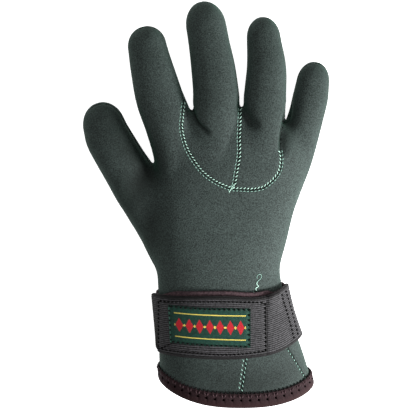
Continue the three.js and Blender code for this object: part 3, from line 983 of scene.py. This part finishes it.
labelForm = {
    "corners": [(-23.2, -88.1), (28, -89.7), (28, -65.2), (-24.5, -64.1)],
    "near": 4.15,
    "far": 4.75,
    "width": 52,
    "height": 24.3,
    "lozenge": {"pitch": 6.5, "halfWidth": 2.5, "halfHeight": 4.6},
    "lines": 7.6,  # from the middle of the label to each yellow line
    "lineHalf": 0.32,
    "dot": 0.95,
    "pick": 0.45,
    "pucker": 0.16,
    "stitches": {"pitch": 3.1, "along": 2.1, "across": 1.7},
}


# Woven damask label: a green satin ground with red lozenges between two yellow lines, the
# threads' steps showing at the edges of each motif
def damaskLabel():
    form, lozenge = labelForm, labelForm["lozenge"]
    finish, tree = newFinish("wovenDamaskLabel", "#0f3a2c", 0.6, 0.06, "#bfe0d0", 0.15)
    x, y = planOf(tree, (form["pick"], form["pick"] * 0.7))
    u = calc(tree, "SUBTRACT", x, form["width"] / 2)
    v = calc(tree, "ABSOLUTE", calc(tree, "SUBTRACT", y, form["height"] / 2))
    fromMiddle = calc(tree, "ABSOLUTE", u)
    repeat = calc(tree, "PINGPONG", u, lozenge["pitch"] / 2)
    widthShare = calc(tree, "DIVIDE", repeat, lozenge["halfWidth"])
    shape = calc(tree, "ADD", widthShare, calc(tree, "DIVIDE", v, lozenge["halfHeight"]))
    inBand = calc(tree, "LESS_THAN", fromMiddle, 3.5 * lozenge["pitch"])
    red = calc(tree, "MULTIPLY", calc(tree, "LESS_THAN", shape, 1.0), inBand)
    toLine = calc(tree, "ABSOLUTE", calc(tree, "SUBTRACT", v, form["lines"]))
    toDot = calc(tree, "ADD", calc(tree, "SUBTRACT", lozenge["pitch"] / 2, repeat), v)
    onLine = calc(tree, "LESS_THAN", toLine, form["lineHalf"])
    motif = calc(tree, "MAXIMUM", onLine, calc(tree, "LESS_THAN", toDot, form["dot"]))
    yellow = calc(tree, "MULTIPLY", motif, inBand)
    selvage = calc(tree, "GREATER_THAN", fromMiddle, form["width"] / 2 - 0.5)
    colour = colourRamp(tree, [(0.3, "#061e18"), (0.7, "#0d3127")], noise(tree, 1.4, 3.0))
    for mask, thread in ((red, "#860f1a"), (yellow, "#a39443"), (selvage, "#24483c")):
        colour = overlaid(tree, mask, thread, colour)
    threads = calc(tree, "SINE", calc(tree, "MULTIPLY", planOf(tree)[1], 2 * math.pi / form["pick"]))
    raised = calc(tree, "MULTIPLY_ADD", calc(tree, "MAXIMUM", red, yellow), 1.2, threads)
    return surfaced(finish, colour, raised, 0.5, 0.15)


labelCloth = damaskLabel()


def labelPlan(u, v):  # shares of the label's width and height to a place seen from above
    a, b, c, d = np.array(labelForm["corners"])
    u, v = u[..., None], v[..., None]
    return (a * (1 - u) + b * u) * (1 - v) + (d * (1 - u) + c * u) * v


def wovenLabel():
    form, stitch = labelForm, labelForm["stitches"]
    u, v = np.meshgrid(np.linspace(0, 1, 105), np.linspace(0, 1, 50), indexing="ij")
    plan = labelPlan(u, v)
    margin = np.minimum(np.minimum(u, 1 - u) * form["width"], np.minimum(v, 1 - v) * form["height"])
    pucker = form["pucker"] * np.sin(2 * math.pi * u * form["width"] / 3.2) * bell(margin, 1.6)
    pillow = 0.35 * smoothStep(0, 3, margin) + pucker
    outer = topAt(plan[..., 0], plan[..., 1], form["far"] + pillow)
    inner = topAt(plan[..., 0], plan[..., 1], form["near"])
    piece = closedSheet("label_weave", outer, inner, labelCloth)
    addPlan(piece, u * form["width"], v * form["height"])
    stands(piece, "woven_label", "woven_label")
    ends = np.linspace(0.01, 0.99, 60)
    lines = [(labelPlan(ends, np.full(60, level)), stitch["along"]) for level in (0.03, 0.97)]
    lines += [(labelPlan(np.full(60, level), ends), stitch["across"]) for level in (0.014, 0.986)]
    top = topSurface(form["far"] + 0.2)
    rows = [stitchRow(top, line, stitch["pitch"], bar) for line, bar in lines]
    stitchBars("label_stitches", rows, 0.5, blackThread, "woven_label", 0.3, 0.2)


wovenLabel()
print("label sewn on")

# The hem's tape, folded over the cuff's edge and sewn through with a zigzag

hemForm = {
    # the tape's section: how far from the hem's edge, and how far outside the neoprene
    "section": [
        (8.6, 0.3), (8.7, 1.0), (8.2, 1.35), (6, 1.3), (4.6, 1.15), (3, 1.6), (0.6, 1.5), (-0.8, 0.9),
        (-1.45, -0.4), (-1.5, -2.0), (-1.1, -3.6), (0.2, -4.5), (3, -4.6), (8.2, -4.5), (8.7, -4.0),
        (8.4, -3.35), (3, -3.3), (0.5, -3.2), (-0.3, -2.6), (-0.3, -0.4), (0.5, 0.25), (3, 0.3),
    ],
    # its outer face again, for the stitches: levels over the hem's edge, and heights there
    "face": [(0.6, 3, 4.6, 6, 8.2, 8.7, 9), (1.5, 1.6, 1.2, 1.3, 1.35, 1.1, 0.3)],
    "holePitch": 5.6,
    "holeLevel": 4.3,
    "holeDepth": 0.5,
    "drawnIn": 0.35,  # how far the zigzag pulls the tape's edge
    "top": 8.6,
    "thread": 0.55,
}


# Nylon tape folded over the edge: matte dark maroon, fine plain weave, paler and redder
# along the fold
def foldedNylonTape():
    finish, tree = newFinish("foldedNylonTape", "#211517", 0.8, 0.06, "#a88f94", 0.1)
    weave = noise(tree, 0.9, 3.0)
    cloth = colourRamp(tree, [(0.3, "#100708"), (0.7, "#1e0f12")], weave)
    nearFold = ranged(tree, planOf(tree)[1], 4.0, 0.6, 0.7)
    return surfaced(finish, overlaid(tree, nearFold, "#1c0c0d", cloth), weave, 0.5, 0.3)


tapeCloth = foldedNylonTape()
overlockThread = spunThread("maroonOverlockThread", "#2a1c1f", 0.08)
darkThread = spunThread("darkOverlockThread", "#0d0809", 0.05)
holeShade = spunThread("blackHoleShade", "#020101", 0.0)


def cuffAt(angle, far, grow):  # a point round the cuff, far from the hem's edge
    return roundAt(angle, far, grow, -120.0, lambda x: hemAt(x) + far)


hemAngles = np.radians(np.linspace(0, 360, 721))
hemLengths = lengthsAlong(cuffAt(hemAngles, np.full(721, hemForm["holeLevel"]), 1.3))
hemLength = hemLengths[-1]
holeCount = int(np.round(hemLength / hemForm["holePitch"]))


def hemSurface(plan):  # the tape's outer face, by length round the cuff and by level over the edge
    def at(s, level):
        angle = np.interp(np.mod(s, hemLength), hemLengths, hemAngles)
        return cuffAt(angle, level, np.interp(level, *hemForm["face"]))

    s, level = plan[:, 0], plan[:, 1]
    return at(s, level), normalsAt(at, s, level, 0.2, -0.1)


def hemBinding():
    form, count = hemForm, 720
    angle = np.radians(np.linspace(0, 360, count, endpoint=False))
    s = np.interp(angle, hemAngles, hemLengths)
    turn = 2 * math.pi * s * holeCount / hemLength
    section = np.array(form["section"], float)
    rings = []
    for far, grow in section:
        outside = 1 if grow > 0 and far > 1 else 0
        across = bell(far - form["holeLevel"], 1.3) * np.maximum(np.cos(turn), 0) ** 3
        dimple = -form["holeDepth"] * outside * across
        drawn = -form["drawnIn"] * (far > 8) * (0.5 + 0.5 * np.cos(2 * turn))
        rings.append(cuffAt(angle, np.full(count, far) + drawn, grow + dimple))
    rings = np.stack(rings, 1)
    rings[..., 2] = np.maximum(rings[..., 2], 0.1)
    faces = gridFaces(count, len(section), True, True)
    tape = meshFrom("hem_tape", rings.reshape(-1, 3), faces, tapeCloth)
    addPlan(tape, s[:, None], section[None, :, 0])
    subdivide = tape.modifiers.new("round", "SUBSURF")
    subdivide.levels = subdivide.render_levels = 1
    applyModifiers(tape)
    stands(tape, "binding_tape", "hem_binding")


def hemStitches():
    form = hemForm
    at = np.arange(holeCount) * hemLength / holeCount
    quarter = hemLength / holeCount / 4

    def bars(low, high, lean, spread):  # one stitch at each hole, from one level of the tape to another
        starts, normals = hemSurface(np.stack([at + spread * lean, np.full(holeCount, low)], 1))
        ends, _ = hemSurface(np.stack([at + quarter * lean, np.full(holeCount, high)], 1))
        return starts, ends, normals

    top, hole = form["top"], form["holeLevel"]
    slanted = [bars(hole + 1.5, top - 0.9, lean, 0.5) for lean in (-1, 1)]
    teeth = [bars(top - 1.3, top + 1, lean, quarter) for lean in (-1, 1)]
    stitchBars("hem_zigzag", slanted, form["thread"], overlockThread, "binding_tape", 0, 0.15)
    stitchBars("hem_edge_stitches", teeth, 0.45, darkThread, "binding_tape", 0.2, 0.3)
    # near-black bars sunk in the dimples: painted shade standing for the needle holes
    sunk = [bars(hole - 1.3, hole + 1.1, 0, 0)]
    stitchBars("hem_needle_holes", sunk, 0.9, holeShade, "binding_tape", 0, 1.25)


hemBinding()
hemStitches()
print("hem bound")

# Floor, lights and camera

stageLook = {
    "tilt": 7.5,
    "distance": 650,
    "aim": (1.1, -4.9, 20),
    "pixel": 0.655,
    "imageSize": 416,
    "world": 0.22,
    "floorHalf": 6000,
    "floorGlow": 0.9,  # the floor is a light table, so that it stays white round the glove
    # place, size and power of each softbox
    "lamps": {"key": ((775, -280, 400), 220, 35), "top": ((60, 20, 1000), 900, 10)},
}


# White acrylic of a light table: matte, pale and evenly lit from below
def lightTable():
    finish, tree = newFinish("whiteLightTable", "#c8c8c8", 0.9)
    sockets = tree.nodes["Principled BSDF"].inputs
    sockets["Emission Color"].default_value = (1, 1, 1, 1)
    sockets["Emission Strength"].default_value = stageLook["floorGlow"]
    return finish


def setStage():
    look, scene = stageLook, bpy.context.scene
    wide = look["floorHalf"]
    corners = [(-wide, -wide, 0), (wide, -wide, 0), (wide, wide, 0), (-wide, wide, 0)]
    meshFrom("floor", corners, [(0, 1, 2, 3)], lightTable())
    world = bpy.data.worlds.new("studio")
    scene.world = world
    world.use_nodes = True
    background = world.node_tree.nodes["Background"]
    background.inputs["Color"].default_value = (1, 1, 1, 1)
    background.inputs["Strength"].default_value = look["world"]
    for name, (place, size, power) in look["lamps"].items():
        lamp = bpy.data.lights.new(name, "AREA")
        lamp.size, lamp.energy = size * mm, power
        light = bpy.data.objects.new(name, lamp)
        light.location = Vector(place) * mm
        light.rotation_euler = (Vector((0, 0, 0.02)) - light.location).to_track_quat("-Z", "Y").to_euler()
        scene.collection.objects.link(light)
    tilt = math.radians(look["tilt"])
    camera = bpy.data.objects.new("camera", bpy.data.cameras.new("camera"))
    back = look["distance"] * Vector((0, math.sin(tilt), math.cos(tilt)))
    camera.location = (Vector(look["aim"]) + back) * mm
    camera.rotation_euler = (-tilt, 0, 0)
    camera.data.lens = camera.data.sensor_width * look["distance"] / look["pixel"] / look["imageSize"]
    camera.data.clip_start = 0.01
    scene.collection.objects.link(camera)
    scene.camera = camera
    scene.view_settings.view_transform = "Standard"


setStage()
print("stage set")
